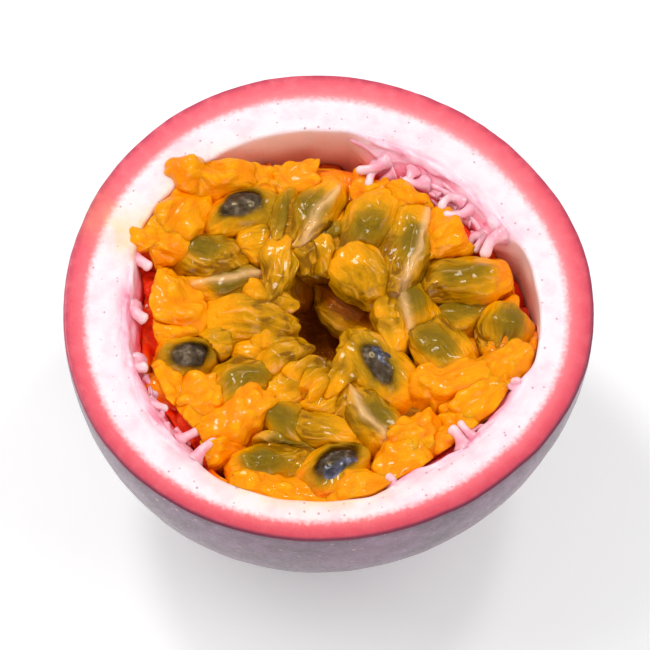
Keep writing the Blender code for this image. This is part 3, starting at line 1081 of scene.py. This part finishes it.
def top_of_sacs(flat, sacs):
    """Height of the sacs' upper side over each place."""
    height = np.full(len(flat), CUT_HEIGHT - 8 * MM)
    up = np.array(((0.0, 0.0, 1.0),))
    for sac in sacs:
        apart = over(flat - sac.centre[:2], 0)
        u, v = sac.to_unit(apart), sac.to_unit(up)[0]
        along = u @ v
        under = along**2 - (v @ v) * ((u**2).sum(1) - 1)
        hit = (-along + np.sqrt(np.maximum(under, 0))) / (v @ v)
        height = np.where(under > 0, np.maximum(height, sac.centre[2] + hit), height)
    return height


def soft_top(flat, sacs):
    """Height of the sacs' upper side, averaged over the surroundings of each place."""
    turns = np.arange(6) * TURN / 6
    around = [(cos(turn + r) * r, sin(turn + r) * r) for r in (0.7, 1.3) for turn in turns]
    offsets = [(0.0, 0.0), *around]
    return sum(top_of_sacs(flat + np.array(o) * MM, sacs) for o in offsets) / len(offsets)


def core_height(flat, outer, margin, bare, sacs):
    """Height of the core: a little under the sacs, well under bare seeds, and up by the wall."""
    place = over(flat, 0)
    sunk = 0.1 + 1.0 * ease(0.0, 0.7, noise(place, 4.2 * MM, 83))
    sunk -= 0.22 * ridged(place, 1.6 * MM, 75) + 0.08 * ridged(place, 0.7 * MM, 79)
    height = np.minimum(soft_top(flat, sacs) - sunk * MM, CUT_HEIGHT - 1.2 * MM)
    height = np.minimum(height, top_of_sacs(flat, sacs) - 0.35 * MM)
    for sac in (s for s in sacs if s.kind == "bare"):
        apart = over(flat - sac.centre[:2], 0)
        within = ease(0.86, 0.7, lengths(sac.to_unit(apart)))
        height -= np.maximum(height - sac.centre[2] + 1 * MM, 0) * within
    raised = CUT_HEIGHT - margin - 0.4 * MM * noise(place, 2.2 * MM, 85)
    cover = top_of_sacs(flat, [s for s in sacs if s.rank])
    raised = np.where(cover > CUT_HEIGHT - 7 * MM, np.minimum(raised, cover - 0.3 * MM), raised)
    by_wall = ease(2.4, 0.6, lengths(outer - flat) / MM)
    return np.maximum(height, height + (raised - height) * (1 - bare) * by_wall)


def core_rings(sacs):
    """Rings of the core: up out of the hollow, over to the wall and down inside it."""
    angle = np.arange(CORE_SEGMENTS) / CORE_SEGMENTS * TURN
    middle = AXIS[:2] + np.array(HOLLOW) * MM
    around = over(on_circle(angle, 3.0), 0)
    uneven = 1 + 0.16 * noise(around, 1.6, 73)
    rings = []
    for below, radius in HOLLOW_PROFILE:
        flat = middle + on_circle(angle, radius * MM * uneven)
        rings.append(over(flat, CUT_HEIGHT - below * MM))
    inner = middle + on_circle(angle, HOLLOW_RIM * MM * uneven)
    bare = in_zones(angle, MEMBRANES)
    margin = (1.3 + 1.5 * in_zones(angle, RED_GLOW_CREVICES)) * MM
    reach = wall_radius(angle, margin + 0.3 * MM) - wall_gap(angle) * bare - 0.05 * MM
    outer = AXIS[:2] + on_circle(angle, reach)
    for share in np.linspace(0, 1, CORE_RINGS):
        flat = inner * (1 - share) + outer * share
        rings.append(over(flat, core_height(flat, outer, margin, bare, sacs)))
    for below in SIDE_LEVELS:
        flat = AXIS[:2] + on_circle(angle, wall_radius(angle, below * MM) - 0.5 * MM)
        height = np.minimum(CUT_HEIGHT - below * MM, rings[-1][:, 2] - 0.3 * MM)
        rings.append(over(flat, height))
    return rings


def mean_ripeness(points, sacs):
    """Ripeness of the upper sacs round each point."""
    weight, total = np.full(len(points), 1e-6), np.zeros(len(points))
    for sac in (s for s in sacs if s.rank):
        near = np.exp(-(lengths(points[:, :2] - sac.centre[:2]) / (2.4 * MM)) ** 2)
        weight, total = weight + near, total + near * KINDS[sac.kind][0]
    return total / weight


def make_core(sacs, material):
    """The pulp between and under the sacs: a bowl round the hollow, filling their creases."""
    points, faces = loft(core_rings(sacs))
    place = points / MM
    inside = lengths(points[:, :2] - AXIS[:2]) / MM
    points += warp(points) * ease(22, 18, inside)[:, None]
    core = new_piece("pulp_core", points, [face[::-1] for face in faces], material)
    flat = points[:, :2] - AXIS[:2]
    radius, turn = lengths(flat), np.arctan2(flat[:, 1], flat[:, 0])
    from_wall = (wall_radius(turn, np.full(len(turn), 3 * MM)) - radius) / MM
    edge = ease(3.4, 1.6, from_wall + 0.7 * noise(place, 1.4, 81))
    # Painted red glow in the crevices by the wall.
    store(core, "red", in_zones(turn, RED_GLOW_CREVICES) * edge)
    store(core, "ripe", mean_ripeness(points, sacs) * ease(21, 17, radius / MM))
    # Painted shade: the core darker the deeper it lies below the cut.
    store(core, "deep", ease(2.4, 5.4, (CUT_HEIGHT - points[:, 2]) / MM) * 0.95)
    # The core lies in the creases between the sacs, so it takes some painted crease shade everywhere.
    store(core, "crease_shade", np.full(len(points), 0.4))
    # Faint pale streaks on the core, partly painted reflection.
    store(core, "pale", np.full(len(points), 0.5))
    store(core, "sac_place", place)


# ---------------------------------------------------------------- stalks
TIP_FROM = 0.86  # where along its length a stalk's tip begins
STEPS, SIDES = 22, 12  # points along a stalk and round it


def bent_line(start, end, sag, sway):
    """Points from start to end along a bow that sags and sways."""
    start, end = np.array(start, float), np.array(end, float)
    along = end - start
    side = np.cross(along, (0, 0, 1))
    side /= max(np.linalg.norm(side), 1e-9)
    share = stalk_shares()[:, None]
    bow = np.sin(share * pi)
    return start + along * share + side * bow * sway + np.array((0, 0, 1)) * bow * sag


def stalk_mesh(line, radii, seed):
    """Rings of a tube along a line with a radius at each point, rounded at both ends."""
    tangents = np.gradient(line, axis=0)
    tangents /= lengths(tangents)[:, None]
    angle = np.arange(SIDES) / SIDES * TURN
    rings = []
    for point, tangent, radius in zip(line, tangents, radii):
        side = np.cross(tangent, (0.13, 0.21, 0.97))
        side /= np.linalg.norm(side)
        up = np.cross(side, tangent)
        circle = np.outer(np.cos(angle), side) + np.outer(np.sin(angle), up)
        ring = point + circle * radius
        ring += circle * (0.13 * radius * noise(ring, 0.8 * MM, seed))[:, None]
        rings.append(ring)
    return loft(rings)


def stalk_shares():
    """Shares of a stalk's length, closer together where its tip is rounded."""
    tip = TIP_FROM + (1 - TIP_FROM) * np.sin(np.linspace(0, pi / 2, 7))
    return np.concatenate([np.linspace(0, TIP_FROM, STEPS - 6)[:-1], tip])


def finger_radii(thick):
    """A finger's radii: wide root, slim neck, bulb at the tip."""
    share = stalk_shares()
    body = 0.52 * thick * (1 + 1.3 * np.exp(-share / 0.16) + 0.12 * np.exp(-((share - 0.84) / 0.12) ** 2))
    cap = np.sqrt(np.clip(1 - np.clip((share - TIP_FROM) / (1 - TIP_FROM), 0, 1) ** 2, 0.01, 1))
    return body * cap


def wall_point(heading, below, inset):
    """A point near the cavity's wall: direction, mm below the cut and mm in from the wall."""
    angle = np.array([radians(heading)])
    radius = wall_radius(angle, np.array([below * MM])) - inset * MM
    flat = AXIS[:2] + on_circle(angle, radius)[0]
    return np.array((*flat, CUT_HEIGHT - below * MM))


# The stalks that stand out: root direction, root mm below the cut, then the tip's x, y and mm
# below the cut, thickness, and how far it sways to one side.
STALKS = (
    (72, 1.6, 3.4, 19.6, 1.6, 0.95, -0.7),
    (74, 2.4, 4.8, 17.4, 1.8, 0.85, 0.2),
    (58, 2.0, 8.7, 18.2, 1.6, 1.0, -0.5),
    (44, 1.4, 13.0, 14.0, 1.2, 0.9, 0.9),
    (41, 1.4, 13.3, 13.6, 1.3, 0.85, -0.8),
    (28, 1.0, 17.9, 7.9, 1.6, 1.15, 0.4),
    (160, 1.8, -19.9, 6.4, 1.2, 1.1, 0.1),
    (177, 1.6, -20.3, -0.4, 1.2, 1.2, 0.2),
    (194, 1.8, -20.1, -6.3, 1.0, 1.1, 0.9),
    (209, 1.2, -17.8, -11.6, 1.4, 0.8, 0.1),
    (223, 1.6, -14.2, -13.8, 2.2, 0.9, 0.2),
    (231, 1.0, -12.2, -15.6, 1.4, 1.0, -0.2),
    (313, 1.0, 13.9, -14.3, 0.8, 1.1, 0.1),
    (317, 1.2, 14.9, -13.4, 1.0, 0.8, -0.2),
    (337, 0.8, 21.0, -8.6, 0.8, 1.0, 0.3),
    (289, 0.9, 6.8, -20.4, 0.8, 0.9, 0.2),
)
TISSUE_ZONES = ((26, 78, 18), (196, 234, 8), (296, 336, 6))  # from, to, how many strands


def finger(root, tip, lift, sway, thick, seed):
    """Points and faces of a stalk from its root to its tip, with its sizes in mm."""
    return stalk_mesh(bent_line(root, tip, lift * MM, sway * MM), finger_radii(thick * MM), seed)


def clear_stalks():
    """The stalks that stand out, and how pale the tip of each is."""
    for k, (heading, below, x, y, tip_below, thick, sway) in enumerate(STALKS):
        tip = AXIS + np.array((x, y, -tip_below)) * MM
        yield finger(wall_point(heading, below, -0.3), tip, 0.5, sway, thick, 80 + k), 1.0


def tissue_strands():
    """Scattered strands: of every three, one reaches in and two lie along the tissue."""
    for low, high, count in TISSUE_ZONES:
        for k in range(count):
            at, below, length = rng.uniform(low, high), rng.uniform(0.9, 3.6), rng.uniform(0.9, 1.9)
            if k % 3:
                start = wall_point(at, below, 0.0)
                end = wall_point(at + rng.uniform(6, 15), below + rng.uniform(-0.6, 0.9), 0.05)
                thick, lift = rng.uniform(0.35, 0.6), rng.uniform(0.0, 0.2)
            else:
                start = wall_point(at, below, -0.3)
                end = wall_point(at + rng.uniform(-5, 5), below + rng.uniform(0.2, 1.0), length)
                thick, lift = rng.uniform(0.8, 1.2), rng.uniform(0.1, 0.4)
            strand = finger(start, end, lift, rng.uniform(-0.7, 0.7), thick, 120 + k)
            yield strand, 0.3 if k % 3 else 1.0


def make_stalks():
    share = stalk_shares()
    share = np.concatenate([np.repeat(share, SIDES), share[[0, -1]]])
    points, faces, tips = [], [], []
    for (stalk, its_faces), pale in (*clear_stalks(), *tissue_strands()):
        base = len(share) * len(points)
        points.append(stalk)
        faces += [[v + base for v in face] for face in its_faces]
        tips.append(pale * share)
    piece = new_piece("funicles", np.concatenate(points), faces, stalk_material())
    store(piece, "tip", np.concatenate(tips))


# ---------------------------------------------------------------- camera, floor and light
ELEVATION = radians(61.5)  # of the camera, which looks from the front
CAMERA_DISTANCE = 0.614
LENS = 300  # mm, on a 36 mm sensor
TARGET = (-0.05 * MM, -1.12 * MM, CUT_HEIGHT - 3.0 * MM)
FLOOR_HALF = 1.5
DAYLIGHT = 0.28
LIGHTS = (  # name, place, how wide, watts, and whether the wet jelly mirrors it
    ("key", (-0.50, 0.20, 0.60), 0.7, 3.0, False),
    ("glint", (-0.22, 0.30, 0.62), 0.15, 1.2, True),
    ("glint_right", (0.25, 0.26, 0.66), 0.13, 0.8, True),
    ("front", (0.10, -0.70, 0.45), 0.6, 1.8, True),
    ("fill", (0.52, -0.05, 0.55), 0.7, 1.95, False),
)


def make_camera():
    data = bpy.data.cameras.new("camera")
    data.lens, data.sensor_width, data.clip_start = LENS, 36, 0.01
    camera = in_scene("camera", data)
    back = Vector((0, -cos(ELEVATION), sin(ELEVATION)))
    camera.location = Vector(TARGET) + back * CAMERA_DISTANCE
    camera.rotation_euler = back.to_track_quat("Z", "Y").to_euler()
    bpy.context.scene.camera = camera


def make_floor():
    mesh = bpy.data.meshes.new("floor")
    corners = [(x * FLOOR_HALF, y * FLOOR_HALF, 0) for x, y in ((-1, -1), (1, -1), (1, 1), (-1, 1))]
    mesh.from_pydata(corners, [], [(0, 1, 2, 3)])
    mat = Shader("floor")
    tone = mat.patches(0.2, 2.0, 0.2, 0.8, 0.96, 0.98)
    mat.set(Base_Color=mat.add("ShaderNodeCombineColor", {0: tone, 1: tone, 2: tone}, 0), Roughness=0.8)
    mat.set(Emission_Color=srgb(255, 255, 255), Emission_Strength=0.14)
    mesh.materials.append(mat.material)
    in_scene("floor", mesh)


def make_light(name, place, size, watts, glossy):
    data = bpy.data.lights.new(name, "AREA")
    data.shape, data.size, data.energy = "DISK", size, watts
    light = in_scene(name, data)
    light.location = place
    toward = Vector((0, 0, CUT_HEIGHT)) - light.location
    light.rotation_euler = toward.to_track_quat("-Z", "Y").to_euler()
    light.visible_glossy = glossy


def make_stage():
    make_camera()
    make_floor()
    world = bpy.data.worlds.new("world")
    world.use_nodes = True
    background = world.node_tree.nodes["Background"]
    background.inputs["Color"].default_value = (1, 1, 1, 1)
    background.inputs["Strength"].default_value = DAYLIGHT
    bpy.context.scene.world = world
    for light in LIGHTS:
        make_light(*light)
    bpy.context.scene.view_settings.view_transform = "Standard"


make_stage()
make_rind()
make_pulp()
make_stalks()
